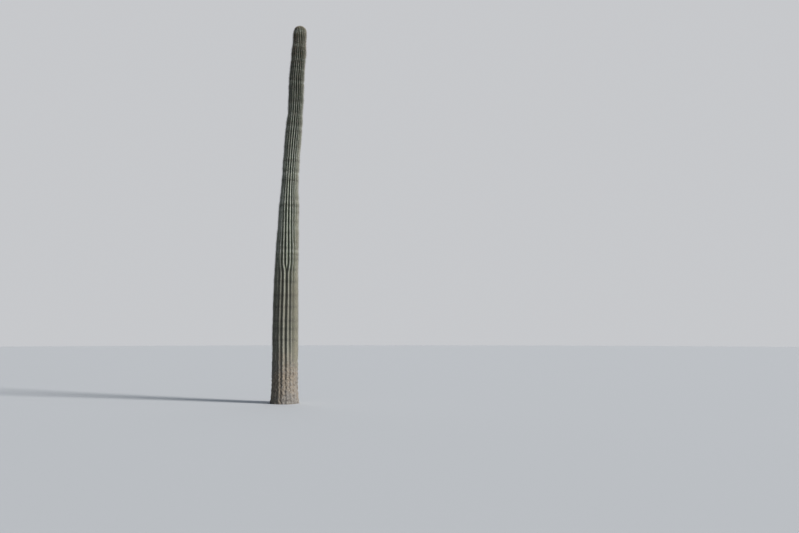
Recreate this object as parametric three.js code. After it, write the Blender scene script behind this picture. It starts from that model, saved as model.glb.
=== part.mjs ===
// A saguaro cactus: one tall ribbed column with no arms, rooted in the ground.
// Millimetres, +Z up. The origin is the middle of the flat cut at ground level.
// The front looks along -Y, and the column leans to its right, along +X.
import * as THREE from 'three';

// Driving dimensions
const skinHeight = 7995;

// How far the middle of the column has leaned at a few heights
const lean = [
  [0, 0],
  [2400, 0],
  [3100, 15],
  [4000, 41],
  [4600, 58],
  [5300, 93],
  [6250, 157],
  [6850, 171],
  [7400, 209],
  [8030, 238],
];

// Radius of the rib crests at a few heights, from the flared foot to the tip
const taper = [
  [0, 304],
  [110, 284],
  [420, 269],
  [1200, 260],
  [2100, 250],
  [2900, 234],
  [3400, 223],
  [3760, 207],
  [4050, 202],
  [4560, 169],
  [5000, 167],
  [5650, 166],
  [6200, 154],
  [6900, 150],
  [7430, 147],
  [7620, 131],
  [7860, 127],
];
// Narrow rings that dry years left in the column
const waists = [
  { height: 7230, inset: 8, reach: 120 },
  { height: 6110, inset: 10, reach: 100 },
  { height: 5220, inset: 7, reach: 150 },
];
const domeHeight = 135;
const domeBluntness = 2.8;

// Ribs
const ribCount = 22;
const firstRibDirection = THREE.MathUtils.degToRad(-82);
// How far, in radians, the ribs have turned round the column at a few heights
const ribTwist = [
  [0, 0.03],
  [1400, -0.02],
  [2700, 0],
  [4300, -0.2],
  [6000, -0.17],
  [7995, -0.2],
];
// Ribs that start above the ground, in the groove between two older ones
const lateRibs = [
  { rib: 0, start: 2720 },
  { rib: 9, start: 3280 },
];
const unopenedWidth = 0.1;
const widensFrom = -70;
const widensTo = 210;
const risesFrom = -20;
const risesTo = 150;
const spinesFrom = 140;
const ribWidthSpread = 0.07;
const ribWidthPattern = 2.4;
const ribDepths = [
  [0, 9],
  [600, 18],
  [1600, 36],
  [4000, 48],
  [7400, 36],
  [7995, 8],
];
const grooveSharpness = 1.3;
const deepestGroove = 1 / 3;
const columnsPerRib = 4;

// Heights of the rings of faces
const footRings = [0, 45, 110, 230, 420];
const bandPitch = 222;
const domeRingCount = 5;

// Rows of spines along the rib crests
const touchGap = 0.3;
const spineRowStart = 640;
const spineRowBreak = 3900;
const spineRowEnd = 7900;
const spineReach = 34;
const spineStripWidth = 9;
const spineStripRise = 6;

// Tuft over the growing tip
const tuftTop = 8030;
const tuftRingCount = 2;
const tuftLift = 0.8;
const tuftSpread = 1.1;
const tuftRim = 6;
const tuftTeeth = 22;
const tuftTooth = 20;

// A smooth value between [height, value] stations, and the end values past them
function between(stations, height) {
  const last = stations.length - 1;
  if (height <= stations[0][0]) return stations[0][1];
  if (height >= stations[last][0]) return stations[last][1];
  const slope = (i) => {
    const [before, after] = [Math.max(i - 1, 0), Math.min(i + 1, last)];
    const rise = stations[after][1] - stations[before][1];
    return rise / (stations[after][0] - stations[before][0]);
  };
  const upper = stations.findIndex(([at]) => at > height);
  const [low, high] = [stations[upper - 1], stations[upper]];
  const span = high[0] - low[0];
  const t = (height - low[0]) / span;
  const t2 = t * t;
  const t3 = t2 * t;
  return (
    low[1] * (2 * t3 - 3 * t2 + 1) +
    high[1] * (3 * t2 - 2 * t3) +
    slope(upper - 1) * span * (t3 - 2 * t2 + t) +
    slope(upper) * span * (t3 - t2)
  );
}

// Where the middle of the column is at a height
function axisAt(height) {
  return new THREE.Vector3(between(lean, height), 0, height);
}

// Radius at the rib crests, rounded in to the tip
function crestRadius(height) {
  let radius = between(taper, height);
  for (const { height: at, inset, reach } of waists) {
    radius -= inset * Math.exp(-(((height - at) / reach) ** 2));
  }
  const intoDome = (height - (skinHeight - domeHeight)) / domeHeight;
  if (intoDome <= 0) return radius;
  const left = 1 - Math.min(intoDome, 1) ** domeBluntness;
  return radius * left ** (1 / domeBluntness);
}

// Every rib in turn: its share of the girth, and the height where it starts if it is a late one
const ribs = Array.from({ length: ribCount }, (_, rib) => ({
  share: 1 + ribWidthSpread * Math.sin(ribWidthPattern * rib * rib),
  start: lateRibs.find((late) => late.rib === rib)?.start ?? -Infinity,
}));

function ribShare({ share, start }, height) {
  const opening = THREE.MathUtils.smoothstep(height, start + widensFrom, start + widensTo);
  return share * THREE.MathUtils.lerp(unopenedWidth, 1, opening);
}

// Direction, in radians, of a place across a rib: 0 at one groove and 1 at the next
function directionOf(rib, across, height) {
  const shares = ribs.map((each) => ribShare(each, height));
  const girth = shares.reduce((sum, share) => sum + share, 0);
  const before = shares.slice(0, rib).reduce((sum, share) => sum + share, 0);
  const turned = (before + across * shares[rib] - shares[0] / 2) / girth;
  return firstRibDirection + between(ribTwist, height) + 2 * Math.PI * turned;
}

// How far the skin lies in from the crest radius, across one rib
function grooveDepth(rib, across, height) {
  const { start } = ribs[rib];
  const risen = THREE.MathUtils.smoothstep(height, start + risesFrom, start + risesTo);
  const inFromCrest = Math.abs(2 * across - 1) ** grooveSharpness;
  return between(ribDepths, height) * THREE.MathUtils.lerp(1, inFromCrest, risen);
}

// A point of the skin, or one that stands out from it by a distance
function skinPoint(rib, across, height, out = 0, aside = 0) {
  const direction = directionOf(rib, across, height);
  const crest = crestRadius(height);
  const easing = Math.min(1, (deepestGroove * crest) / between(ribDepths, height));
  const depth = easing * grooveDepth(rib, across, height);
  const outward = new THREE.Vector3(Math.cos(direction), Math.sin(direction), 0);
  const sideways = new THREE.Vector3(-outward.y, outward.x, 0);
  const point = axisAt(height).addScaledVector(outward, crest - depth + out);
  return point.addScaledVector(sideways, aside);
}

// Ring heights, closer together at the foot and over the tip
const straightTop = skinHeight - domeHeight;
const straightStart = footRings.at(-1);
const straightCount = Math.round((straightTop - straightStart) / bandPitch);
const ringHeights = [
  ...footRings,
  ...Array.from({ length: straightCount }, (_, k) => {
    return straightStart + ((straightTop - straightStart) * (k + 1)) / straightCount;
  }),
  ...Array.from({ length: domeRingCount }, (_, k) => {
    return straightTop + domeHeight * Math.sin((0.5 * Math.PI * (k + 1)) / (domeRingCount + 1));
  }),
];

// The column: a lathe-turned blank whose rings are then pressed into ribs
function columnGeometry() {
  const profile = [
    new THREE.Vector2(0, 0),
    ...ringHeights.map((height) => new THREE.Vector2(crestRadius(height), height)),
    new THREE.Vector2(0, skinHeight),
  ];
  const columnCount = ribCount * columnsPerRib;
  const blank = new THREE.LatheGeometry(profile, columnCount);
  const places = blank.getAttribute('position');
  for (let column = 0; column <= columnCount; column += 1) {
    const rib = Math.floor(column / columnsPerRib) % ribCount;
    const across = (column % columnsPerRib) / columnsPerRib;
    profile.forEach((point, row) => {
      const onAxis = row === 0 || row === profile.length - 1;
      const place = onAxis ? axisAt(point.y) : skinPoint(rib, across, point.y);
      places.setXYZ(column * profile.length + row, place.x, place.y, place.z);
    });
  }
  return blank;
}

// A closed blade that follows a rib crest, with one tooth to each ring of faces
function spineRowGeometry(rib, from, to) {
  const crest = (height, out, aside) => skinPoint(rib, 0.5, height, out, aside);
  const start = Math.max(from, ribs[rib].start + spinesFrom);
  const heights = ringHeights.filter((height) => height >= start && height <= to);
  const corners = [];
  heights.forEach((height, k) => {
    const half = spineStripWidth / 2;
    corners.push(crest(height, touchGap, -half), crest(height, touchGap, half));
    corners.push(crest(height, spineStripRise, 0));
    if (k + 1 < heights.length) {
      corners.push(crest((height + heights[k + 1]) / 2, spineReach, 0));
    }
  });
  // The lower end is lifted clear of the row below
  corners.slice(0, 3).forEach((corner) => corner.setZ(corner.z + touchGap));
  const faces = [[0, 1, 2]];
  for (let k = 0; k + 1 < heights.length; k += 1) {
    const [near, far, ridge, tooth] = [0, 1, 2, 3].map((n) => 4 * k + n);
    const [nextNear, nextFar, nextRidge] = [4, 5, 6].map((n) => 4 * k + n);
    faces.push([near, nextNear, far], [far, nextNear, nextFar]);
    faces.push([near, ridge, tooth], [near, tooth, nextNear], [nextNear, tooth, nextRidge]);
    faces.push([far, tooth, ridge], [far, nextFar, tooth], [nextFar, nextRidge, tooth]);
  }
  const end = 4 * (heights.length - 1);
  faces.push([end, end + 2, end + 1]);
  const geometry = new THREE.BufferGeometry().setFromPoints(corners);
  geometry.setIndex(faces.flat());
  return geometry;
}

// A low cap of felt and bristles over the tip, toothed round its rim
function tuftGeometry() {
  const underside = ringHeights.slice(-tuftRingCount).reverse();
  const rimHeight = underside.at(-1);
  const rimRadius = crestRadius(rimHeight) * tuftSpread;
  const profile = [
    new THREE.Vector2(0, skinHeight + tuftLift),
    ...underside.map((height) => new THREE.Vector2(crestRadius(height), height + tuftLift)),
    new THREE.Vector2(rimRadius, rimHeight + tuftRim),
    new THREE.Vector2(rimRadius / 2, (skinHeight + tuftTop) / 2),
    new THREE.Vector2(0, tuftTop),
  ];
  const cap = new THREE.LatheGeometry(profile, 2 * tuftTeeth);
  const places = cap.getAttribute('position');
  const rimRow = 1 + tuftRingCount;
  for (let column = 1; column < 2 * tuftTeeth; column += 2) {
    const index = column * profile.length + rimRow;
    places.setY(index, places.getY(index) + tuftTooth);
  }
  cap.rotateX(Math.PI / 2);
  cap.translate(axisAt(skinHeight).x, 0, 0);
  return cap;
}

// Materials
const skinFinish = { color: 0x6f7a5a, roughness: 0.72, metalness: 0 };
const spineFinish = { color: 0xb9ad90, roughness: 0.8, metalness: 0 };
const tuftFinish = { color: 0xa8946a, roughness: 0.9, metalness: 0 };

function part(name, geometry, finish) {
  const mesh = new THREE.Mesh(geometry, new THREE.MeshStandardMaterial(finish));
  mesh.name = name;
  return mesh;
}

// Each row is in two lengths, which meet where the column bends
const breakRing = ringHeights.find((height) => height >= spineRowBreak);
const lengths = [
  { name: 'lower', from: spineRowStart, to: breakRing },
  { name: 'upper', from: breakRing, to: spineRowEnd },
];

const saguaro = new THREE.Group();
saguaro.add(part('trunk', columnGeometry(), skinFinish));
for (let rib = 0; rib < ribCount; rib += 1) {
  const number = String(rib + 1).padStart(2, '0');
  for (const { name, from, to } of lengths) {
    saguaro.add(part(`spine_row_${number}_${name}`, spineRowGeometry(rib, from, to), spineFinish));
  }
}
saguaro.add(part('crown_tuft', tuftGeometry(), tuftFinish));

export default saguaro;
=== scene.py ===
# The looks of a saguaro cactus: its ribbed skin, corky foot, felt pads and spines.
# Metres, +Z up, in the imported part's own frame. The front looks along -Y.
import math

import bpy
import numpy as np
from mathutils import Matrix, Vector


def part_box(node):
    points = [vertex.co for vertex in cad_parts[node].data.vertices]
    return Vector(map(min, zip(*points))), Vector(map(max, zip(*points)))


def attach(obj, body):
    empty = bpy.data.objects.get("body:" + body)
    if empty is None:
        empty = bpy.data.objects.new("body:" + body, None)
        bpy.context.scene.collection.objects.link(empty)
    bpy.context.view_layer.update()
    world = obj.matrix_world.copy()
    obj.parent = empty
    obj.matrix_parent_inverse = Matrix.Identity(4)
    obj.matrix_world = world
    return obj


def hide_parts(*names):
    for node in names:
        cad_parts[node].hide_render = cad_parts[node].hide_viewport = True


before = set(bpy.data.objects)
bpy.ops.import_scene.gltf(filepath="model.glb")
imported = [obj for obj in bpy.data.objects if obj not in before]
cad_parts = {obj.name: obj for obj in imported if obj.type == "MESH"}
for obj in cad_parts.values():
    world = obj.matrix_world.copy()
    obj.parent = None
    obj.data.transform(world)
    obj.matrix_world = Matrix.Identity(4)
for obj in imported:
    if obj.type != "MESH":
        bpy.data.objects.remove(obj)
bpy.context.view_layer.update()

# The column, as in the part's source, in metres
SKIN_HEIGHT = 7.995
LEAN = [
    (0.0, 0.0),
    (2.4, 0.0),
    (3.1, 0.015),
    (4.0, 0.041),
    (4.6, 0.058),
    (5.3, 0.093),
    (6.25, 0.157),
    (6.85, 0.171),
    (7.4, 0.209),
    (8.03, 0.238),
]
TAPER = [
    (0.0, 0.304),
    (0.11, 0.284),
    (0.42, 0.269),
    (1.2, 0.260),
    (2.1, 0.250),
    (2.9, 0.234),
    (3.4, 0.223),
    (3.76, 0.207),
    (4.05, 0.202),
    (4.56, 0.169),
    (5.0, 0.167),
    (5.65, 0.166),
    (6.2, 0.154),
    (6.9, 0.150),
    (7.43, 0.147),
    (7.62, 0.131),
    (7.86, 0.127),
]
# Height, inset and reach of the narrow rings
WAISTS = [(7.23, 0.008, 0.12), (6.11, 0.010, 0.10), (5.22, 0.007, 0.15)]
DOME_HEIGHT = 0.135
DOME_FOOT = SKIN_HEIGHT - DOME_HEIGHT
DOME_BLUNTNESS = 2.8

# Ribs, as in the part's source
RIB_COUNT = 22
FIRST_RIB_DIRECTION = math.radians(-82)
RIB_TWIST = [(0.0, 0.03), (1.4, -0.02), (2.7, 0.0), (4.3, -0.2), (6.0, -0.17), (SKIN_HEIGHT, -0.2)]
RIB_WIDTH_SPREAD = 0.07
RIB_WIDTH_PATTERN = 2.4
RIB_DEPTHS = [
    (0.0, 0.009),
    (0.6, 0.018),
    (1.6, 0.036),
    (4.0, 0.048),
    (7.4, 0.036),
    (SKIN_HEIGHT, 0.008),
]
GROOVE_SHARPNESS = 1.3
DEEPEST_GROOVE = 1 / 3
# Late ribs and the heights at which they start. The others start well under the ground
LATE_RIBS = {0: 2.72, 9: 3.28}
UNDER_GROUND = -10.0
UNOPENED_WIDTH = 0.1
# Measured from a late rib's start: where it widens, stands out and gets its first spines
WIDENS_FROM, WIDENS_TO = -0.07, 0.21
RISES_FROM, RISES_TO = -0.02, 0.15
SPINES_FROM = 0.14

# The skin's mesh: places across one rib, and the step between areoles up it and at the tip
PLACES_ACROSS = [0.0, 0.1, 0.25, 0.4, 0.5, 0.6, 0.75, 0.9]
CREST = 0.5
AREOLE_STEP = 0.0295
TIP_AREOLE_STEP = 0.011
# Distances down from the tip, along a crest, between which the step grows
STEP_GROWS = [0.03, 0.35]
# How finely the crests' profile is followed, up the column, over the dome and under the crown
COLUMN_SAMPLES = 4000
DOME_SAMPLES = 900
CROWN_SAMPLES = 2000

# The flat map of the skin that its patterns are baked through, in shares of a square
MAP_LENGTHS = 4
MAP_LENGTH_HEIGHT = 0.465
MAP_MARGIN = 0.005
MAP_TIP_HEIGHT = 0.004
MAP_CUT_RADIUS = 0.026
MAP_CUT_MIDDLE = (0.5, 0.97)

# The skin's relief: a swell at each areole, and ribs that wander in and out and to the sides
AREOLE_SWELL = 0.0016
CREST_WANDER = 0.0028
RIB_TURN = 0.006
WANDER_LENGTHS = (0.62, 0.35, 0.19)
WANDER_PARTS = (0.5, 0.32, 0.18)

# Each year's growth leaves a swell, and a little under it a ring of colour: painted shade under a
# swell, and painted light under a neck
RING_REACH = 0.027
GROWTH_SWELL = 0.0055
GROOVE_SWELLS_LESS = 0.6
SWELL_REACH = 0.045
SWELL_LIFT = 0.035
# Growth rings below those that show in the photo
LOWEST_GROWTH = 1.3
LOWER_GROWTH_GAP = (0.15, 0.29)
LOWER_GROWTH_STRENGTH = 0.6

# Blocky cork round the foot, made of many waves: how many go round, how steep they are up the
# column, in radians to the metre, how far their phases spread, and what they usually add up to
CORK_TOP = 1.15
CORK_FADE = 0.75
CORK_RELIEF = 0.006
CORK_WAVES = 26
MOST_LUMPS_ROUND = 34
LUMPS_UP = (20, 95)
LUMP_PHASES = 9
LUMP_SUM = 3.6

# Growth rings that show in the photo: height and strength, above 0 for a ring of painted shade,
# just under a swell of the column, and below 0 for one of painted light, just under a neck
SEEN_GROWTHS = [
    (2.97, 0.5),
    (3.07, 0.5),
    (3.14, -0.8),
    (3.20, 0.5),
    (3.32, 0.4),
    (3.52, 0.3),
    (3.62, -0.5),
    (3.76, 0.4),
    (3.96, 0.5),
    (4.10, 0.9),
    (4.19, -0.6),
    (4.27, 0.5),
    (4.64, 0.8),
    (4.78, -1.0),
    (4.85, 0.6),
    (5.06, 1.0),
    (5.10, -0.4),
    (5.36, 0.5),
    (5.68, 0.4),
    (5.77, -0.7),
    (5.86, 0.7),
    (6.04, -0.5),
    (6.10, 0.3),
    (6.26, -0.5),
    (6.35, 0.6),
    (6.63, 0.9),
    (6.75, -0.7),
    (6.81, 0.9),
    (7.02, -0.5),
    (7.19, 0.9),
    (7.25, -0.5),
    (7.39, 0.4),
    (7.49, 0.5),
    (7.55, -0.5),
    (7.75, 1.0),
    (7.87, -0.5),
]

# Healed scars: height, degrees round from the front and size. The first eight show in the photo
SCARS = [
    (4.09, 35, 0.017),
    (3.75, 46, 0.011),
    (5.07, 42, 0.012),
    (5.89, 33, 0.015),
    (7.37, -19, 0.013),
    (7.36, 6, 0.010),
    (6.71, 22, 0.012),
    (6.05, 12, 0.011),
    (2.30, 128, 0.016),
    (4.62, 190, 0.019),
    (3.05, 247, 0.013),
    (6.45, 155, 0.011),
    (1.72, 285, 0.015),
    (5.48, 262, 0.012),
]
SCAR_DENT = 0.005
SCAR_TALLNESS = 1.2

# The side that the sun has tanned, as degrees round from the front, and the cosines of the
# angles from its middle at which the tan begins and is full
TANNED_SIDE = 92
TAN_BEGINS, TAN_FULL = 0.55, 0.95
# Sides where the crests are painted paler, as painted light falling on them: degrees round from
# the front, reach in degrees, how far, and the heights over which that comes and goes
CREST_LIGHT_SIDES = [
    (33, 37, 1.0, (2.4, 3.2), (5.0, 6.2)),
    (-36, 22, 0.8, (2.8, 3.2), (4.2, 4.6)),
]
# The share of its reach over which a side has its full painted light
CREST_LIGHT_CORE = 0.3

# Clusters of spines. Towards the foot some are lost, and the others get shorter
SPINES_START = 0.46
SPARSE_BELOW = 1.5
SPARSE_SHARE = 0.30
SPARSE_LENGTH = 0.6
# Over these heights the old spines, which droop, give way to young ones
YOUNG = (6.6, 7.8)
YOUNG_LENGTHEN = 0.15
YOUNG_STAND_UP = 0.25
OLD_DROOP = 0.10
# How much shorter the spines get over the dome, and the height at which they are shortest
DOME_SHORTEN = 0.45
SHORTEST_FROM = SKIN_HEIGHT - 0.2 * DOME_HEIGHT
CLUSTER_WIDTH = 0.7
TURN_SPREAD = 0.35
SIZE_SPREAD = (0.8, 1.2)
SPINE_ROOT = 0.0012
SPINE_SPACING = 0.0026
# Radial spines, which lie over the crest, and central ones, which stand out: number, lengths,
# thickness, degrees up from the skin, and how far they bend past a joint, down if below 0
SPINE_KINDS = [
    (17, (0.009, 0.017), 0.0010, (16, 46), None),
    (5, (0.018, 0.036), 0.0014, (40, 82), (-0.45, 0.1)),
]

# A needle's shares of length before and past its joint, its thickness there, and its faces:
# their corners in one run, and how many each face has
TO_JOINT, PAST_JOINT = 0.55, 0.45
JOINT_THICKNESS = 0.72
STRAIGHT_NEEDLE = ([0, 1, 3, 1, 2, 3, 2, 0, 3], [3, 3, 3])
JOINTED_NEEDLE = (
    [0, 1, 4, 3, 1, 2, 5, 4, 2, 0, 3, 5, 3, 4, 6, 4, 5, 6, 5, 3, 6],
    [4, 4, 4, 3, 3, 3],
)
# The upward part of a unit vector past which it counts as nearly upright
NEARLY_UPRIGHT = 0.9

# Felt pads
PAD_WIDE, PAD_TALL, PAD_THICK = 0.0052, 0.0068, 0.0034
PAD_SIDES = 6
PAD_ROOT = 0.0022
SHOULDER_WIDE, SHOULDER_HIGH = 0.72, 0.62

# Finishes of the spines and of the pads, in the order of their pieces' materials
FRESH, STRAW, ASH, DARK = range(4)
CREAM, GREY, BLACK = range(3)
# How likely a finish is: its share at the ground, and what stretches of height add to that, each
# as how much, from and to. The other spines are straw, and the other pads grey
FRESH_SHARE = (0.03, [(0.34, *YOUNG)])
ASH_SHARE = (0.16, [(0.50, 2.0, 3.5), (-0.46, 4.6, 7.0)])
DARK_SHARE = (0.40, [(-0.30, 1.6, 2.8), (0.38, 5.6, 7.4)])
CREAM_SHARE = (0.05, [(0.6, 6.2, 7.8)])
BLACK_SHARE = (0.55, [(-0.4, 1.6, 4.5)])
# How much of the dark share is lost near the tip, and over which heights
DARK_LOST = (0.6, 7.80, 7.88)
# Areoles with more wear have more ash spines and fewer dark ones. A tanned side makes for less
# wear, and so does a dark growth ring, painted shade; paler crests and pale rings, painted light,
# make for more
WORN_ASH = 0.22
WORN_DARK = 0.12
WEAR_SPREAD = 0.5
TAN_WEAR = 1.6
CREST_LIGHT_PALING = 1.2
RING_LIGHT_AND_SHADE = 2.8

# An areole's way up is measured from this far below it to as far above it, short of the tip
UP_REACH = 0.002
JUST_UNDER_TIP = SKIN_HEIGHT - 1e-4

# The felt of the crown: how far it rises towards the middle, how deep its edge is sunk, how far
# its top is above the skin's tip, and its tufts
CROWN_FELT_RADIUS = 0.060
CROWN_FELT_RINGS, CROWN_FELT_SIDES = 9, 44
CROWN_FELT_RISE = 0.010
CROWN_FELT_SUNK = 0.004
CROWN_FELT_TOP = 0.007
TUFT_RELIEF = 0.0022
TUFTS_ROUND = 11
TUFTS_OUT = 160
TUFT_SCATTER = 0.0009

# The young spines of the crown, which lean out more towards its edge
CROWN_SPINES = 620
CROWN_SPREAD = 1.1
CROWN_SPINE_LENGTH = (0.012, 0.026)
CROWN_SPINE_THICKNESS = (0.0009, 0.0013)
LEAN_IN_MIDDLE, LEAN_OUTWARDS = 0.15, 0.75
LEAN_SCATTER = 0.22
CROWN_SPINE_BEND = 0.3

SEED = 41
random = np.random.default_rng(SEED)


# Shapes of the column

def along(stations, height):
    """The part's smooth curve through (height, value) stations, and the end values past them."""
    at, value = np.array(stations).T
    last = len(at) - 1
    station = np.arange(last + 1)
    before, after = np.maximum(station - 1, 0), np.minimum(station + 1, last)
    slope = (value[after] - value[before]) / (at[after] - at[before])
    height = np.clip(height, at[0], at[-1])
    upper = np.clip(np.searchsorted(at, height, side="right"), 1, last)
    lower = upper - 1
    span = at[upper] - at[lower]
    t = (height - at[lower]) / span
    return (
        value[lower] * (2 * t**3 - 3 * t**2 + 1)
        + value[upper] * (3 * t**2 - 2 * t**3)
        + slope[lower] * span * (t**3 - 2 * t**2 + t)
        + slope[upper] * span * (t**3 - t**2)
    )


def smoothstep(value, low, high):
    """0 below low, 1 above high, and a smooth rise between."""
    t = np.clip((value - low) / (high - low), 0, 1)
    return t * t * (3 - 2 * t)


def unit(vectors):
    return vectors / np.linalg.norm(vectors, axis=-1, keepdims=True)


def even_turns(sides):
    """The angles of this many corners, evenly round a circle."""
    return np.arange(sides) * 2 * math.pi / sides


def axis_x(height):
    """How far the middle of the column has leaned at a height."""
    return along(LEAN, height)


def middle_at(height):
    """The point in the middle of the column at each height."""
    return np.stack([axis_x(height), 0 * height, height], axis=-1)


def crest_radius(height):
    radius = along(TAPER, height)
    for at, inset, reach in WAISTS:
        radius = radius - inset * np.exp(-(((height - at) / reach) ** 2))
    into_dome = np.clip((height - DOME_FOOT) / DOME_HEIGHT, 0, 1)
    return radius * (1 - into_dome**DOME_BLUNTNESS) ** (1 / DOME_BLUNTNESS)


def rib_starts():
    return np.array([LATE_RIBS.get(rib, UNDER_GROUND) for rib in range(RIB_COUNT)])


def rib_shares(height):
    """Each rib's share of the girth, for every height: heights by ribs."""
    rib = np.arange(RIB_COUNT)
    share = 1 + RIB_WIDTH_SPREAD * np.sin(RIB_WIDTH_PATTERN * rib * rib)
    start = rib_starts()
    opening = smoothstep(height[:, None], start + WIDENS_FROM, start + WIDENS_TO)
    return share * (UNOPENED_WIDTH + (1 - UNOPENED_WIDTH) * opening)


# Waves with seeded phases, so that no two ribs wander alike
rib_phases = random.uniform(0, 2 * math.pi, (len(WANDER_LENGTHS), RIB_COUNT))


def rib_wander(height):
    """A slow wander between -1 and 1 for each rib: heights by ribs."""
    total = np.zeros((len(height), RIB_COUNT))
    for phase, length, part in zip(rib_phases, WANDER_LENGTHS, WANDER_PARTS):
        total += part * np.sin(2 * math.pi * height[:, None] / length + phase)
    return total


def growths():
    """The rings that each year's growth leaves: those of the photo and more of them lower down."""
    at, lower = LOWEST_GROWTH, []
    while at < SEEN_GROWTHS[0][0] - LOWER_GROWTH_GAP[0]:
        lower.append((at, LOWER_GROWTH_STRENGTH))
        at += random.uniform(*LOWER_GROWTH_GAP)
    return np.array(lower + SEEN_GROWTHS)


GROWTHS = growths()


def growth_rings(height, reach):
    """Ring strength at a height: up to about 1 for painted shade, below 0 for painted light."""
    away = (height[:, None] - GROWTHS[None, :, 0]) / reach
    return (GROWTHS[None, :, 1] * np.exp(-(away**2))).sum(axis=1)


def cork_share(height):
    return 1 - smoothstep(height, CORK_TOP - CORK_FADE, CORK_TOP)


lump_waves = random.uniform(-1, 1, (CORK_WAVES, 3))


def cork_lumps(direction, height):
    """Blocky relief of the corky foot, between about -1 and 1."""
    total = np.zeros_like(height)
    fewest, most = LUMPS_UP
    for k, (turn, rise, phase) in enumerate(lump_waves):
        around = round(turn * MOST_LUMPS_ROUND)
        up = math.copysign(fewest + (most - fewest) * abs(rise), rise)
        total += np.sin(around * direction + up * height + LUMP_PHASES * phase + k)
    return np.tanh(total / LUMP_SUM)


def facing(outward, degrees, low, high):
    """How much each place faces the way that lies these degrees round from the front, from 0 to 1."""
    way = math.radians(degrees - 90)
    return smoothstep(outward[..., 0] * math.cos(way) + outward[..., 1] * math.sin(way), low, high)


def tanned(outward):
    return facing(outward, TANNED_SIDE, TAN_BEGINS, TAN_FULL)


def painted_crest_light(outward, height):
    """How much paler the crests are painted, as painted light, from 0 to 1."""
    share = 0
    for degrees, reach, strength, comes, goes in CREST_LIGHT_SIDES:
        edge, core = np.cos(np.radians([reach, CREST_LIGHT_CORE * reach]))
        there = smoothstep(height, *comes) * (1 - smoothstep(height, *goes))
        share = np.maximum(share, strength * there * facing(outward, degrees, edge, core))
    return share


def scar_marks(points):
    """How strongly a scar marks each point of the skin, from 0 to 1."""
    marks = np.zeros(points.shape[:-1])
    for height, degrees, size in SCARS:
        way = math.radians(degrees - 90)
        across, back = points[..., 0] - axis_x(height), points[..., 1]
        beside = across * math.sin(way) - back * math.cos(way)
        in_front = across * math.cos(way) + back * math.sin(way) > 0
        away = (beside / size) ** 2 + ((points[..., 2] - height) / (SCAR_TALLNESS * size)) ** 2
        marks = np.maximum(marks, np.exp(-away) * in_front)
    return marks


def skin_places(height, rib, across):
    """Points of the skin: one row for each height, one column for each place on the ribs."""
    # Places round the column, from the crest of the first rib
    shares = rib_shares(height)
    girth = shares.sum(axis=1, keepdims=True)
    before = np.cumsum(shares, axis=1) - shares
    turned = (before[:, rib] + across * shares[:, rib] - shares[:, :1] / 2) / girth
    wander = rib_wander(height)
    twist = along(RIB_TWIST, height)[:, None]
    # Both edges of a groove move alike: each place takes its share of two neighbours' wander
    left, right = wander[:, rib - 1], wander[:, (rib + 1) % RIB_COUNT]
    own = 1 - np.abs(across - CREST)
    side = np.where(across < CREST, left, right)
    turn = RIB_TURN * (own * wander[:, rib] + (1 - own) * side)
    direction = FIRST_RIB_DIRECTION + twist + turn + 2 * math.pi * turned

    crest = crest_radius(height)[:, None]
    # Rings of painted shade, or of painted light where below 0
    ring = growth_rings(height, RING_REACH)[:, None]
    swollen = growth_rings(height - SWELL_LIFT, SWELL_REACH)[:, None]
    deepest = along(RIB_DEPTHS, height)[:, None]
    deepest = deepest * np.minimum(1, DEEPEST_GROOVE * crest / deepest)
    start = rib_starts()[rib]
    risen = smoothstep(height[:, None], start + RISES_FROM, start + RISES_TO)
    in_from_crest = np.abs(2 * across - 1) ** GROOVE_SHARPNESS
    groove = 1 + (in_from_crest - 1) * risen
    cork = cork_share(height)[:, None]
    relief = CREST_WANDER * wander[:, rib] * (1 - groove)
    relief = relief + GROWTH_SWELL * swollen * (1 - GROOVE_SWELLS_LESS * groove)
    lumps = cork_lumps(direction, np.broadcast_to(height[:, None], direction.shape))
    relief = relief * (1 - cork) + CORK_RELIEF * cork * lumps
    on_dome = np.minimum(1, crest / crest_radius(DOME_FOOT))
    radius = crest - deepest * groove + relief * on_dome**2
    points = np.stack(
        [
            axis_x(height)[:, None] + radius * np.cos(direction),
            radius * np.sin(direction),
            np.broadcast_to(height[:, None], radius.shape),
        ],
        axis=-1,
    )
    return points, groove, np.broadcast_to(ring, groove.shape)


def ring_heights():
    """Heights of the skin's rings, two to each areole, evenly spaced along a crest."""
    over_dome = np.sin(np.linspace(0, math.pi / 2, DOME_SAMPLES))[1:]
    fine = np.concatenate(
        [np.linspace(0, DOME_FOOT, COLUMN_SAMPLES), SKIN_HEIGHT - DOME_HEIGHT * (1 - over_dome)]
    )
    profile = np.stack([crest_radius(fine), fine], axis=-1)
    length = np.concatenate([[0], np.cumsum(np.linalg.norm(np.diff(profile, axis=0), axis=1))])
    heights, at = [0.0], 0.0
    while True:
        left = length[-1] - at
        at += np.interp(left, STEP_GROWS, [TIP_AREOLE_STEP, AREOLE_STEP]) / 2
        if at > length[-1] - TIP_AREOLE_STEP / 2:
            return np.array(heights)
        heights.append(float(np.interp(at, length, fine)))


RINGS = ring_heights()


# Meshes

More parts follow.
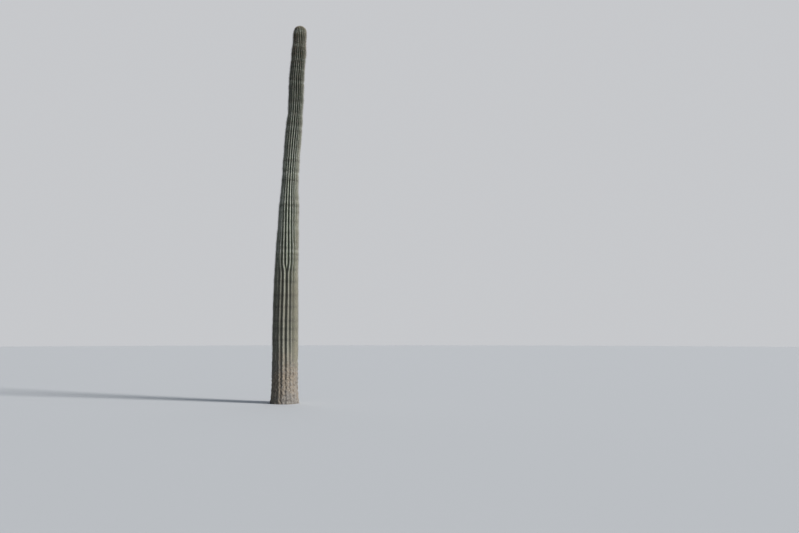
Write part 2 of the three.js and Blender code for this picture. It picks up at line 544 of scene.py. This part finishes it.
def mesh_piece(name, points, loops, sizes, slots=None, smooth=True):
    """A mesh object from its points and its faces, written as one run of corners."""
    mesh = bpy.data.meshes.new(name)
    mesh.vertices.add(len(points))
    mesh.vertices.foreach_set("co", np.ascontiguousarray(points, np.float32).ravel())
    mesh.loops.add(len(loops))
    mesh.loops.foreach_set("vertex_index", np.ascontiguousarray(loops, np.int32))
    mesh.polygons.add(len(sizes))
    starts = np.concatenate([[0], np.cumsum(sizes)[:-1]])
    mesh.polygons.foreach_set("loop_start", np.ascontiguousarray(starts, np.int32))
    mesh.polygons.foreach_set("loop_total", np.ascontiguousarray(sizes, np.int32))
    if slots is not None:
        mesh.polygons.foreach_set("material_index", np.ascontiguousarray(slots, np.int32))
    mesh.polygons.foreach_set("use_smooth", np.full(len(sizes), smooth))
    mesh.update(calc_edges=True)
    mesh.validate()
    piece = bpy.data.objects.new(name, mesh)
    bpy.context.scene.collection.objects.link(piece)
    return piece


def point_values(mesh, name, values):
    mesh.attributes.new(name, "FLOAT", "POINT")
    mesh.attributes[name].data.foreach_set("value", np.ascontiguousarray(values, np.float32))


def closed_tube(rows, columns):
    """Faces over rows of points: quads, a fan to one more point on top, and a flat bottom."""
    index = np.arange(rows * columns).reshape(rows, columns)
    beside = np.roll(index, -1, axis=1)
    quads = np.stack([index[:-1], beside[:-1], beside[1:], index[1:]], axis=-1)
    fan = np.stack([index[-1], beside[-1], np.full(columns, rows * columns)], axis=-1)
    loops = np.concatenate([quads.ravel(), fan.ravel(), index[0][::-1]])
    sizes = np.concatenate([np.full((rows - 1) * columns, 4), np.full(columns, 3), [columns]])
    return loops, sizes


def lay_out_skin(piece, rows, columns):
    """A flat map of the skin for the bake: lengths of the column side by side in a square."""
    quads = (rows - 1) * columns
    corner_row = np.repeat(np.arange(rows - 1), 4 * columns) + np.tile([0, 0, 1, 1], quads)
    corner_column = np.tile(np.repeat(np.arange(columns), 4), rows - 1)
    corner_column = corner_column + np.tile([0, 1, 1, 0], quads)
    rows_each = math.ceil(rows / MAP_LENGTHS)
    length = np.repeat(np.arange(rows - 1) // rows_each, 4 * columns)
    u = MAP_MARGIN + (1 - 2 * MAP_MARGIN) * corner_column / columns
    v = MAP_MARGIN + (1 - 2 * MAP_MARGIN) * (corner_row - length * rows_each) / rows_each
    u, v = (u + length % 2) / 2, (v + length // 2) * MAP_LENGTH_HEIGHT
    # The tip's fan goes on above its length, and the flat cut has the strip along the top
    fan = np.arange(columns)
    fan_u = np.stack([fan, fan + 1, fan + 0.5], axis=-1) / columns
    fan_u = (1 + MAP_MARGIN + (1 - 2 * MAP_MARGIN) * fan_u) / 2
    top_v = float(v.reshape(-1, 4 * columns)[-1].max())
    fan_v = top_v + MAP_TIP_HEIGHT * np.tile([0, 0, 1.0], (columns, 1))
    turns = even_turns(columns)
    cut_u = MAP_CUT_MIDDLE[0] + MAP_CUT_RADIUS * np.cos(turns)
    cut_v = MAP_CUT_MIDDLE[1] + MAP_CUT_RADIUS * np.sin(turns)
    layer = piece.data.uv_layers.new(name="OFBake")
    spots = np.stack(
        [np.concatenate([u, fan_u.ravel(), cut_u]), np.concatenate([v, fan_v.ravel(), cut_v])],
        axis=-1,
    )
    layer.uv.foreach_set("vector", spots.astype(np.float32).ravel())


def skin_piece():
    """The whole column as one closed mesh, from its flat cut to its tip."""
    rib = np.repeat(np.arange(RIB_COUNT), len(PLACES_ACROSS))
    across = np.tile(PLACES_ACROSS, RIB_COUNT)
    points, groove, ring = skin_places(RINGS, rib, across)
    rows, columns = groove.shape

    # Crests swell a little at each areole, at every second ring, staggered from rib to rib
    at_areole = (np.arange(rows)[:, None] + rib[None, :]) % 2 == 0
    swell = AREOLE_SWELL * at_areole * (1 - groove) ** 3 * (RINGS[:, None] > SPINES_START)
    outward = unit(points - middle_at(RINGS)[:, None, :])
    scars = scar_marks(points)
    points = points + outward * (swell - SCAR_DENT * scars)[..., None]

    everything = np.concatenate([points.reshape(-1, 3), [middle_at(SKIN_HEIGHT)]])
    loops, sizes = closed_tube(rows, columns)
    piece = mesh_piece("trunk_skin", everything, loops, sizes)
    # What the skin material reads: values over the rows of points, and one at the tip
    for name, values, at_tip in (
        ("groove", groove, 0.5),
        # Growth rings: painted shade, or painted light where below 0
        ("ring", ring, 0),
        ("scar", scars, 0),
        ("tanned", tanned(outward), 0),
        # Painted light that makes the crests paler on some sides
        ("painted_crest_light", painted_crest_light(outward, RINGS[:, None]), 0),
    ):
        point_values(piece.data, name, np.append(values, at_tip))
    lay_out_skin(piece, rows, columns)
    piece.data.polygons[len(sizes) - 1].use_smooth = False
    return piece


def needles(base, way, length, thickness, bend):
    """Thin three-sided needles. With a bend they have a joint, at which they turn that much."""
    # Two directions square to each needle, found with one that it can't lie along
    helper = np.where(np.abs(way[:, 2:]) > NEARLY_UPRIGHT, [[1.0, 0, 0]], [[0, 0, 1.0]])
    side = unit(np.cross(way, helper))
    other = np.cross(way, side)
    turns = even_turns(3)[None, :, None]
    ring = np.cos(turns) * side[:, None, :] + np.sin(turns) * other[:, None, :]
    foot = base[:, None, :] + ring * thickness[:, None, None]
    if bend is None:
        tip = base + way * length[:, None]
        rows = [foot, tip[:, None, :]]
        corners, sizes = STRAIGHT_NEEDLE
    else:
        joint = base + way * (TO_JOINT * length)[:, None]
        knee = joint[:, None, :] + ring * (JOINT_THICKNESS * thickness)[:, None, None]
        tip = joint + unit(way + bend) * (PAST_JOINT * length)[:, None]
        rows = [foot, knee, tip[:, None, :]]
        corners, sizes = JOINTED_NEEDLE
    points = np.concatenate(rows, axis=1)
    offsets = np.arange(len(base))[:, None] * points.shape[1]
    loops = (np.array(corners)[None] + offsets).ravel()
    return points.reshape(-1, 3), loops, np.tile(sizes, len(base)), len(sizes)


def join(parts):
    """Joins needle sets, each given with the material slots of its needles."""
    points, loops, sizes, slots, before = [], [], [], [], 0
    for (some_points, some_loops, some_sizes, faces_each), kinds in parts:
        points.append(some_points)
        loops.append(some_loops + before)
        sizes.append(some_sizes)
        slots.append(np.repeat(kinds, faces_each))
        before += len(some_points)
    return [np.concatenate(values) for values in (points, loops, sizes, slots)]


def crest_points(rib, heights):
    return skin_places(heights, np.array([rib]), np.array([CREST]))[0][:, 0]


def areoles(rib):
    """Where one rib's areoles sit, the ways out, up and aside there, and their wear and painted
    light.
    """
    heights = RINGS[rib % 2 :: 2]
    heights = heights[heights > max(SPINES_START, rib_starts()[rib] + SPINES_FROM)]
    here = crest_points(rib, heights)
    above = crest_points(rib, np.minimum(heights + UP_REACH, JUST_UNDER_TIP))
    up = unit(above - crest_points(rib, heights - UP_REACH))
    outward = here - middle_at(heights)
    aside = unit(np.cross(up, outward))
    out = np.cross(aside, up)
    # Stretches of a rib weather alike, and single areoles differ a little
    wear_and_painted_light = rib_wander(heights)[:, rib] + random.uniform(-WEAR_SPREAD, WEAR_SPREAD, len(heights))
    # Paler crests, a painted light, give paler spines
    wear_and_painted_light = wear_and_painted_light - TAN_WEAR * tanned(unit(outward)) + CREST_LIGHT_PALING * painted_crest_light(unit(outward), heights)
    # Dark growth rings, painted shade, give darker spines, and pale ones, painted light, paler
    wear_and_painted_light = wear_and_painted_light - RING_LIGHT_AND_SHADE * growth_rings(heights, RING_REACH)
    return here + out * AREOLE_SWELL, out, up, aside, heights, wear_and_painted_light


def share_at(height, at_ground, changes):
    """A share that starts from its value at the ground and changes over stretches of height."""
    share = at_ground
    for change, low, high in changes:
        share = share + change * smoothstep(height, low, high)
    return share


def finish_of(height, wear_and_painted_light):
    """The finish of each spine, by chance, as likely as its height, wear and painted light make it.
    """
    fresh = share_at(height, *FRESH_SHARE)
    ash = share_at(height, *ASH_SHARE) + WORN_ASH * wear_and_painted_light
    dark = share_at(height, *DARK_SHARE) - WORN_DARK * wear_and_painted_light
    lost, low, high = DARK_LOST
    dark = dark * (1 - lost * smoothstep(height, low, high))
    draw = random.uniform(size=len(height))
    kinds = np.full(len(height), STRAW)
    kinds[draw < fresh + ash + dark] = DARK
    kinds[draw < fresh + ash] = ASH
    kinds[draw < fresh] = FRESH
    return kinds


def spine_clusters(here, out, up, aside, heights, wear_and_painted_light):
    """Radial spines that lie over the crest and stouter ones that stand out, for every areole."""
    grown = smoothstep(heights, SPINES_START, SPARSE_BELOW)
    keep = random.uniform(size=len(heights)) < SPARSE_SHARE + (1 - SPARSE_SHARE) * grown
    here, out, up, aside = here[keep], out[keep], up[keep], aside[keep]
    heights, wear_and_painted_light, grown = heights[keep], wear_and_painted_light[keep], grown[keep]
    young = smoothstep(heights, *YOUNG)
    over_dome = smoothstep(heights, DOME_FOOT, SHORTEST_FROM)
    parts = []
    for count, lengths, thickness, tilts, bends in SPINE_KINDS:
        shape = (len(heights), count)
        place = np.arange(count) + random.uniform(-TURN_SPREAD, TURN_SPREAD, shape)
        turn = place * 2 * math.pi / count + random.uniform(0, 2 * math.pi, (len(heights), 1))
        tilt = np.radians(random.uniform(*tilts, shape))[..., None]
        flat = np.cos(turn)[..., None] * up[:, None]
        flat = flat + CLUSTER_WIDTH * np.sin(turn)[..., None] * aside[:, None]
        way = np.cos(tilt) * flat + np.sin(tilt) * out[:, None]
        # Older spines droop, and young ones stand up
        way = unit(way + (YOUNG_STAND_UP * young - OLD_DROOP)[:, None, None] * up[:, None])
        length = random.uniform(*lengths, shape) * (1 + YOUNG_LENGTHEN * young)[:, None]
        length = length * (SPARSE_LENGTH + (1 - SPARSE_LENGTH) * grown)[:, None]
        length = (length * (1 - DOME_SHORTEN * over_dome)[:, None]).ravel()
        base = here[:, None] - SPINE_ROOT * out[:, None] + SPINE_SPACING * flat
        thick = thickness * random.uniform(*SIZE_SPREAD, len(length))
        bend = None
        if bends:
            bend = np.repeat(up, count, axis=0) * random.uniform(*bends, len(length))[:, None]
        kinds = finish_of(np.repeat(heights, count), np.repeat(wear_and_painted_light, count))
        some = needles(base.reshape(-1, 3), way.reshape(-1, 3), length, thick, bend)
        parts.append((some, kinds))
    return join(parts)


def pads(here, out, up, aside, heights):
    """Felt pads: low six-sided domes, sunk a little into the skin."""
    turns = even_turns(PAD_SIDES)[None, :, None]
    wide = np.cos(turns) * aside[:, None, :] * PAD_WIDE
    tall = np.sin(turns) * up[:, None, :] * PAD_TALL
    size = random.uniform(*SIZE_SPREAD, len(here))[:, None, None]
    rim = here[:, None] + size * (wide + tall) - PAD_ROOT * out[:, None]
    shoulder = here[:, None] + SHOULDER_WIDE * size * (wide + tall)
    shoulder = shoulder + SHOULDER_HIGH * PAD_THICK * out[:, None]
    top = here[:, None] + PAD_THICK * out[:, None]
    points = np.concatenate([rim, shoulder, top], axis=1)
    low = np.arange(PAD_SIDES)
    next_low = (low + 1) % PAD_SIDES
    high, next_high = low + PAD_SIDES, next_low + PAD_SIDES
    sides = np.stack([next_low, low, high, next_high], axis=-1)
    tops = np.stack([next_high, high, np.full(PAD_SIDES, 2 * PAD_SIDES)], axis=-1)
    offsets = (np.arange(len(here)) * points.shape[1])[:, None]
    loops = (np.concatenate([sides.ravel(), tops.ravel()])[None] + offsets).ravel()
    sizes = np.tile([4] * PAD_SIDES + [3] * PAD_SIDES, len(here))
    draw = random.uniform(size=len(here))
    dark = np.where(draw > 1 - share_at(heights, *BLACK_SHARE), BLACK, GREY)
    kinds = np.where(draw < share_at(heights, *CREAM_SHARE), CREAM, dark)
    return points.reshape(-1, 3), loops, sizes, np.repeat(kinds, 2 * PAD_SIDES)


# Materials

class Shade:
    """A socket in a node tree. Python's operators on it add Math nodes."""

    def __init__(self, tree, socket=None):
        self.tree = tree
        self.socket = socket

    def node(self, kind, settings, inputs, output=0):
        """Adds a node with its settings, feeds its sockets and wraps one of its outputs."""
        made = self.tree.nodes.new("ShaderNode" + kind)
        for name, value in settings.items():
            setattr(made, name, value)
        for name, value in inputs.items():
            self.feed(made.inputs[name], value)
        return Shade(self.tree, made.outputs[output])

    def feed(self, socket, value):
        if isinstance(value, Shade):
            self.tree.links.new(value.socket, socket)
        else:
            socket.default_value = value

    def maths(self, operation, *values):
        return self.node("Math", {"operation": operation}, dict(enumerate(values)))

    def __add__(self, other):
        return self.maths("ADD", self, other)

    __radd__ = __add__

    def __mul__(self, other):
        return self.maths("MULTIPLY", self, other)

    __rmul__ = __mul__

    def __sub__(self, other):
        return self.maths("SUBTRACT", self, other)

    def __rsub__(self, other):
        return self.maths("SUBTRACT", other, self)

    def __abs__(self):
        return self.maths("ABSOLUTE", self)

    def larger(self, other):
        return self.maths("MAXIMUM", self, other)

    def smooth(self, low, high):
        """0 below low, 1 above high, and a smooth rise between."""
        settings = {"interpolation_type": "SMOOTHSTEP"}
        return self.node("MapRange", settings, {"Value": self, "From Min": low, "From Max": high})

    def blend(self, first, second):
        """This much of the way from the first colour to the second."""
        colours = [value if isinstance(value, Shade) else (*value, 1) for value in (first, second)]
        # A Mix node's colour sockets go by number, because others have the same names
        inputs = {0: self, 6: colours[0], 7: colours[1]}
        return self.node("Mix", {"data_type": "RGBA"}, inputs, 2)

    def noise(self, scale, detail, roughness=0.5):
        """Noise at these coordinates, from 0 to 1."""
        inputs = {"Vector": self, "Scale": scale, "Detail": detail, "Roughness": roughness}
        return self.node("TexNoise", {}, inputs)

    def vectors(self, operation, *values, output="Vector"):
        inputs = dict(enumerate((self, *values)))
        return self.node("VectorMath", {"operation": operation}, inputs, output)

    def stretched(self, x, y, z):
        return self.vectors("MULTIPLY", (x, y, z))

    def towards(self, way):
        """How much a direction points the given way, from -1 to 1."""
        return self.vectors("DOT_PRODUCT", way, output="Value")

    def attribute(self, name):
        return self.node("Attribute", {"attribute_name": name}, {}, "Fac")


def new_material(name):
    material = bpy.data.materials.new(name)
    material.use_nodes = True
    return material, Shade(material.node_tree), material.node_tree.nodes["Principled BSDF"]


# Colours, as linear red, green and blue
CREST_DUST = (0.330, 0.344, 0.298)
# Colour of the crests where painted light makes them paler
CREST_LIGHT_PALE = (0.446, 0.458, 0.400)
FLANK_GREEN = (0.085, 0.122, 0.073)
FLANK_YELLOW = (0.136, 0.157, 0.098)
WAX_BLOOM = (0.197, 0.241, 0.200)
# The grooves' painted shade
GROOVE_SHADE_GREEN = (0.021, 0.035, 0.024)
TOP_GREEN = (0.035, 0.049, 0.032)
LOW_TAN = (0.135, 0.131, 0.102)
SUN_TAN = (0.150, 0.136, 0.088)
# The growth rings' painted shade
RING_SHADE_GREY = (0.029, 0.033, 0.024)
# Brown of scars and scuffs, and painted shade in the creases of wrinkles
SCAR_AND_SHADE_BROWN = (0.085, 0.062, 0.045)
SCAR_RIM = (0.260, 0.225, 0.175)
CORK_TAN = (0.225, 0.185, 0.140)
CORK_GREY = (0.175, 0.162, 0.145)
CORK_PALE = (0.330, 0.300, 0.255)
# Dark of the bark's furrows, checks and creases: its own colour and painted shade
CORK_SHADE_DARK = (0.050, 0.040, 0.032)
FELT_TAN = (0.29, 0.25, 0.19)
FELT_DARK = (0.085, 0.068, 0.050)
FLOOR_GREY = (0.50, 0.505, 0.51)


def cork_pattern(place, patches, blotches, mottle):
    """Colour and height of old bark: furrowed plates that flake, with fine creases across them."""
    swirl = place.node("TexNoise", {}, {"Vector": place, "Scale": 13.0, "Detail": 3.0}, "Color")
    bent = swirl.vectors("MULTIPLY_ADD", (0.05, 0.05, 0.05), place)
    edge = {"feature": "DISTANCE_TO_EDGE"}
    furrows = bent.node("TexVoronoi", edge, {"Vector": bent.stretched(1, 1, 0.4), "Scale": 24.0})
    checks = bent.node("TexVoronoi", edge, {"Vector": bent.stretched(0.7, 0.7, 1), "Scale": 62.0})
    creases = bent.stretched(0.2, 0.2, 1).noise(70, 4, 0.6)
    # Furrows, checks and creases, darkened with the bark's own colour and with painted shade
    deep_shaded = (1 - (furrows + 0.10 * (mottle - 0.5)).smooth(0.0, 0.11)) * blotches.smooth(0.30, 0.62)
    fine = (1 - checks.smooth(0.0, 0.07)) * (1 - blotches.smooth(0.35, 0.70)) * 0.7
    folds = 1 - abs(2 * creases - 1).smooth(0.0, 0.16)
    colour = (patches + 0.8 * (mottle - 0.5)).smooth(0.40, 0.64).blend(CORK_TAN, CORK_GREY)
    colour = ((mottle + 0.5 * (blotches - 0.5)).smooth(0.54, 0.70) * 0.6).blend(colour, CORK_PALE)
    colour = (0.85 * deep_shaded).larger(0.6 * fine).blend(colour, CORK_SHADE_DARK)
    colour = (folds * 0.35).blend(colour, CORK_SHADE_DARK)
    return colour, 2.2 * (1 - deep_shaded) + 0.9 * (1 - fine) + 0.7 * (1 - folds) + 1.4 * mottle


def skin_material():
    """Waxy grey-green skin with dusty crests, healed scars and a corky foot."""
    material, shade, shader = new_material("saguaro_skin")
    place = shade.node("TexCoord", {}, {}, "Object")
    height = shade.node("SeparateXYZ", {}, {"Vector": place}, "Z")
    groove = shade.attribute("groove")
    ring = shade.attribute("ring")
    scar = shade.attribute("scar")
    tanned_side = shade.attribute("tanned")
    crest_light = shade.attribute("painted_crest_light")
    patches = place.noise(2.6, 3)
    blotches = place.noise(9, 3, 0.6)
    mottle = place.noise(27, 4, 0.65)
    grain = place.noise(190, 3, 0.6)
    streaks = place.stretched(1, 1, 0.12).noise(75, 3, 0.6)
    wrinkles = place.stretched(0.22, 0.22, 1).noise(62, 4, 0.6)
    flecks = place.node("TexVoronoi", {}, {"Vector": place, "Scale": 46.0})

    # Green flanks with a pale bloom of wax, dusty crests, and darker green in the grooves, which is
    # painted shade
    flank = (mottle + 0.7 * (blotches - 0.5)).smooth(0.36, 0.64).blend(FLANK_GREEN, FLANK_YELLOW)
    bloom = (blotches + 0.5 * (streaks - 0.5)).smooth(0.50, 0.72) * 0.35
    flank = bloom.blend(flank, WAX_BLOOM)
    # Paler crests on some sides, with a wider pale strip there, are painted light
    dust = crest_light.blend(CREST_DUST, CREST_LIGHT_PALE)
    narrow = groove - 0.10 * crest_light
    dusty = (narrow + 0.3 * (streaks - 0.5) + 0.12 * (mottle - 0.5)).smooth(0.0, 0.30)
    green = dusty.blend(dust, flank)
    # How much painted shade darkens the grooves
    deep_shaded = (groove + 0.3 * (mottle - 0.5)).smooth(0.45, 1.0)
    green = deep_shaded.blend(green, GROOVE_SHADE_GREEN)
    # A tan colour low down, but less in the grooves, tanned by the sun on one side, and dark at the
    # top
    low = 0.95 - 0.60 * height.smooth(2.1, 3.2) - 0.35 * height.smooth(2.8, 4.6)
    spared = (0.15 + 0.50 * height.smooth(2.4, 3.1)) * groove
    green = (low * (0.75 + 0.5 * patches) * (1 - spared)).blend(green, LOW_TAN)
    green = (tanned_side * (0.45 + 0.6 * patches) * 0.8).blend(green, SUN_TAN)
    high = height.smooth(4.2, 7.0) * 0.90
    green = high.blend(green, TOP_GREEN)
    # Painted shade in the dark growth rings, and painted light in the pale ones, where the value is
    # below 0, in the crests' dust colour
    green = (ring * (0.40 + 0.5 * mottle)).blend(green, RING_SHADE_GREY)
    green = (ring * -0.2).blend(green, CREST_DUST)
    # Fine wrinkles across the flanks, with painted shade in their creases, specks, scabs, scuffs and
    # healed scars with a pale rim
    wrinkled = (1 - abs(2 * wrinkles - 1).smooth(0.0, 0.12)) * groove.smooth(0.03, 0.3) * 0.30
    green = wrinkled.blend(green, SCAR_AND_SHADE_BROWN)
    specks = (grain + 0.5 * (blotches - 0.5)).smooth(0.62, 0.72) * 0.5
    green = specks.blend(green, SCAR_RIM)
    scabs = (1 - flecks.smooth(0.10, 0.19)) * (blotches + 0.5 * (patches - 0.5)).smooth(0.46, 0.56)
    green = (scabs * 0.75).blend(green, CORK_TAN)
    scuffs = (mottle + 0.8 * (blotches - 0.5)).smooth(0.66, 0.74) * (1 - 0.7 * groove) * 0.6
    green = scuffs.blend(green, SCAR_AND_SHADE_BROWN)
    ragged = scar + 0.35 * (mottle - 0.5)
    green = (ragged.smooth(0.16, 0.30) * 0.8).blend(green, SCAR_RIM)
    green = (ragged.smooth(0.34, 0.46) * 0.95).blend(green, SCAR_AND_SHADE_BROWN)

    cork, cork_height = cork_pattern(place, patches, blotches, mottle)
    unevenness = 0.9 * (patches - 0.5) + 0.7 * (blotches - 0.5) + 0.35 * (mottle - 0.5)
    corky = 1 - (height + unevenness + 0.3 * (streaks - 0.5)).smooth(0.62, CORK_TOP)
    shade.feed(shader.inputs["Base Color"], corky.blend(green, cork))

    rough = 0.50 + 0.20 * mottle + 0.12 * dusty + 0.18 * corky
    shade.feed(shader.inputs["Roughness"], rough)

    waxy = 0.5 * grain - 2.6 * wrinkled + 1.6 * mottle + 0.6 * scabs
    bumpy = waxy + corky * cork_height
    bump = shade.node("Bump", {}, {"Height": bumpy, "Distance": 0.0024, "Strength": 0.6})
    shade.feed(shader.inputs["Normal"], bump)
    return material


def felt_material():
    """Short matted felt, tan with darker tufts."""
    material, shade, shader = new_material("crown_felt")
    place = shade.node("TexCoord", {}, {}, "Object")
    tufts = place.noise(420, 3, 0.7)
    broad = place.noise(31, 2)
    colour = (tufts * 0.6 + broad * 0.6).smooth(0.3, 0.9).blend(FELT_DARK, FELT_TAN)
    shade.feed(shader.inputs["Base Color"], colour)
    shader.inputs["Roughness"].default_value = 0.95
    bump = shade.node("Bump", {}, {"Height": tufts, "Distance": 0.0012, "Strength": 0.8})
    shade.feed(shader.inputs["Normal"], bump)
    return material


def plain_material(name, colour, roughness):
    material, _, shader = new_material(name)
    shader.inputs["Base Color"].default_value = (*colour, 1)
    shader.inputs["Roughness"].default_value = roughness
    return material


skin_finish = skin_material()
crown_finish = felt_material()
pad_finishes = [
    plain_material("felt_cream", (0.34, 0.29, 0.20), 0.95),
    plain_material("felt_grey", (0.25, 0.235, 0.21), 0.95),
    plain_material("felt_black", (0.075, 0.066, 0.056), 0.95),
]
spine_finishes = [
    plain_material("spine_red_brown", (0.21, 0.130, 0.072), 0.5),
    plain_material("spine_straw", (0.318, 0.313, 0.242), 0.55),
    plain_material("spine_ash", (0.470, 0.488, 0.430), 0.65),
    plain_material("spine_dark", (0.072, 0.068, 0.060), 0.6),
]


def dress(piece, finishes, slot, *nodes):
    """Gives a piece its materials and body, and hides the nodes it replaces. The slot is not used."""
    for finish in finishes:
        piece.data.materials.append(finish)
    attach(piece, "root")
    if nodes:
        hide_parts(*nodes)


# The column
dress(skin_piece(), [skin_finish], "ribbed_skin", "trunk")

# Felt pads and spines, rib by rib. A row of spines is in two parts, as in the frame
row_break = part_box("spine_row_02_upper")[0].z
pad_rows = []
for rib in range(RIB_COUNT):
    row = areoles(rib)
    pad_rows.append(row[:5])
    for part, chosen in (("lower", row[4] < row_break), ("upper", row[4] >= row_break)):
        clusters = spine_clusters(*(values[chosen] for values in row))
        name = f"{rib + 1:02d}_{part}"
        piece = mesh_piece(f"spines_{name}", *clusters)
        dress(piece, spine_finishes, "spines", f"spine_row_{name}")
pad_mesh = pads(*(np.concatenate(values) for values in zip(*pad_rows)))
dress(mesh_piece("areole_pads", *pad_mesh), pad_finishes, "felt")


# The crown: a felted cap in the dip of the tip, with a crowd of young spines

def dome_height(radius):
    """How high the dome's crests are at these distances from its middle."""
    heights = np.linspace(DOME_FOOT, SKIN_HEIGHT, CROWN_SAMPLES)
    return np.interp(-radius, -crest_radius(heights), heights)


def crown_felt_piece():
    rings, sides = CROWN_FELT_RINGS, CROWN_FELT_SIDES
    radius = np.linspace(1, 0, rings + 1)[:-1] * CROWN_FELT_RADIUS
    turns = even_turns(sides)
    skin = dome_height(radius)
    lift = CROWN_FELT_RISE * (1 - (radius / CROWN_FELT_RADIUS) ** 2) - CROWN_FELT_SUNK
    lumps = TUFT_RELIEF * np.sin(TUFTS_ROUND * turns)[None, :] * np.sin(radius * TUFTS_OUT)[:, None]
    lumps = lumps + random.uniform(-TUFT_SCATTER, TUFT_SCATTER, (rings, sides))
    x = axis_x(skin)[:, None] + radius[:, None] * np.cos(turns)
    y = radius[:, None] * np.sin(turns)
    z = (skin + lift)[:, None] + lumps
    points = np.stack([x, y, z], axis=-1).reshape(-1, 3)
    top = middle_at(SKIN_HEIGHT) + [0, 0, CROWN_FELT_TOP]
    return mesh_piece("crown_felt", np.concatenate([points, [top]]), *closed_tube(rings, sides))


def crown_spine_piece():
    count = CROWN_SPINES
    radius = CROWN_FELT_RADIUS * CROWN_SPREAD * np.sqrt(random.uniform(0, 1, count))
    turn = random.uniform(0, 2 * math.pi, count)
    flat = np.stack([np.cos(turn), np.sin(turn), 0 * turn], axis=-1)
    base = flat * radius[:, None] + middle_at(dome_height(radius))
    scatter = random.normal(0, LEAN_SCATTER, (count, 3))
    lean = (LEAN_IN_MIDDLE + LEAN_OUTWARDS * radius / CROWN_FELT_RADIUS)[:, None]
    way = unit(flat * lean + [0, 0, 1] + scatter)
    length = random.uniform(*CROWN_SPINE_LENGTH, count)
    thick = random.uniform(*CROWN_SPINE_THICKNESS, count)
    bend = flat * random.uniform(-CROWN_SPINE_BEND, CROWN_SPINE_BEND, count)[:, None]
    kinds = random.choice([FRESH, FRESH, STRAW, ASH, DARK], count)
    return mesh_piece("crown_spines", *join([(needles(base, way, length, thick, bend), kinds)]))


dress(crown_felt_piece(), [crown_finish], "felt", "crown_tuft")
dress(crown_spine_piece(), spine_finishes, "spines", "crown_tuft")


# The photograph's camera: eye height over level ground, a wide lens, tilted up
EYE_HEIGHT = 1.4
STAND_OFF = 16.2
ASIDE = 2.371
TILT_UP = math.radians(5.04)
LENS_MM = 35.0
SENSOR_MM = 36.0
FARTHEST_SEEN = 500

camera = bpy.data.objects.new("camera", bpy.data.cameras.new("camera"))
camera.data.lens = LENS_MM
camera.data.sensor_width = SENSOR_MM
camera.data.clip_end = FARTHEST_SEEN
camera.location = (ASIDE, -STAND_OFF, EYE_HEIGHT)
camera.rotation_euler = (math.pi / 2 + TILT_UP, 0, 0)
bpy.context.scene.collection.objects.link(camera)
bpy.context.scene.camera = camera


# Pale floor and soft studio light
FLOOR_RADIUS = 90
FLOOR_SIDES = 96
# Where the room is bright, and the middle of the light behind the plant
BRIGHT_WAY = (0.78, -0.50, 0.38)
BEHIND_WAY = (0, 0.94, 0.34)
# Colours of the room's light, and of the backdrop that the camera sees instead
BRIGHT_SIDE = (0.29, 0.34, 0.40)
DIM_SIDE = (0.015, 0.04, 0.075)
BEHIND = (0.80, 0.84, 0.90)
BACKDROP = (0.57, 0.58, 0.60)
SUN_WHITE = (0.995, 0.985, 0.975)


def floor():
    turns = even_turns(FLOOR_SIDES)
    points = FLOOR_RADIUS * np.stack([np.cos(turns), np.sin(turns), 0 * turns], axis=-1)
    piece = mesh_piece("floor", points, np.arange(FLOOR_SIDES), [FLOOR_SIDES], smooth=False)
    piece.data.materials.append(plain_material("pale_floor", FLOOR_GREY, 0.9))


def soft_sun(name, heading, height, spread, power, colour):
    """Even light from one side: its heading and height in degrees, and how wide it spreads."""
    lamp = bpy.data.lights.new(name, "SUN")
    lamp.angle = math.radians(spread)
    lamp.energy = power
    lamp.color = colour
    holder = bpy.data.objects.new(name, lamp)
    holder.rotation_euler = (math.radians(90 - height), 0, math.radians(heading + 90))
    bpy.context.scene.collection.objects.link(holder)


def room_light():
    """Light from one side and from behind the plant, dim elsewhere, and a plain backdrop."""
    world = bpy.data.worlds.new("room")
    world.use_nodes = True
    background = world.node_tree.nodes["Background"]
    shade = Shade(world.node_tree)
    direction = shade.node("TexCoord", {}, {}, "Generated")
    light = direction.towards(BRIGHT_WAY).smooth(-0.3, 1.0).blend(DIM_SIDE, BRIGHT_SIDE)
    light = direction.towards(BEHIND_WAY).smooth(0.55, 1.0).blend(light, BEHIND)
    seen = shade.node("LightPath", {}, {}, "Is Camera Ray")
    shade.feed(background.inputs["Color"], seen.blend(light, BACKDROP))
    bpy.context.scene.world = world


floor()
room_light()
soft_sun("key_light", heading=-23, height=22, spread=14, power=5.9, colour=SUN_WHITE)
bpy.context.scene.view_settings.view_transform = "Standard"
